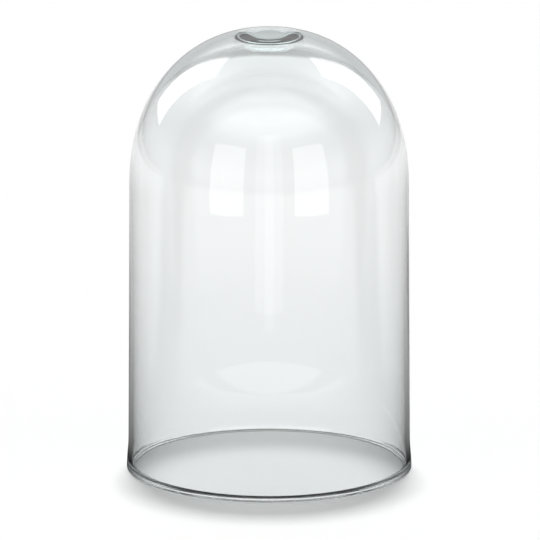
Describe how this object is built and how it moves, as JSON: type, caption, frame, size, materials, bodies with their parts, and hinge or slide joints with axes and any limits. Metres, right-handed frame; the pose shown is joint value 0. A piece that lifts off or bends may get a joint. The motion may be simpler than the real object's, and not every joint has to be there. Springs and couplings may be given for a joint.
{
  "type": "bell jar dome",
  "caption": "Clear glass bell jar: a straight round wall running into a domed crown, open below, with a thick flared rim. It stands over an exhibit to keep dust and hands off it.",
  "frame": {"origin": "centre of the ground seat of the rim, at the bottom of the dome, on its axis", "axes": "+Z is the axis of the dome, from the rim up to the crown; the dome is turned, so +X and +Y are any two square directions in the plane of the seat"},
  "size_m": [0.2022, 0.2022, 0.316],
  "materials": {
    "clear_glass": "clear fire-polished glass with a faint green-grey tint, ground matt on the seat of the rim"
  },
  "bodies": {
    "root": {"glass_dome": "clear_glass"}
  },
  "joints": []
}
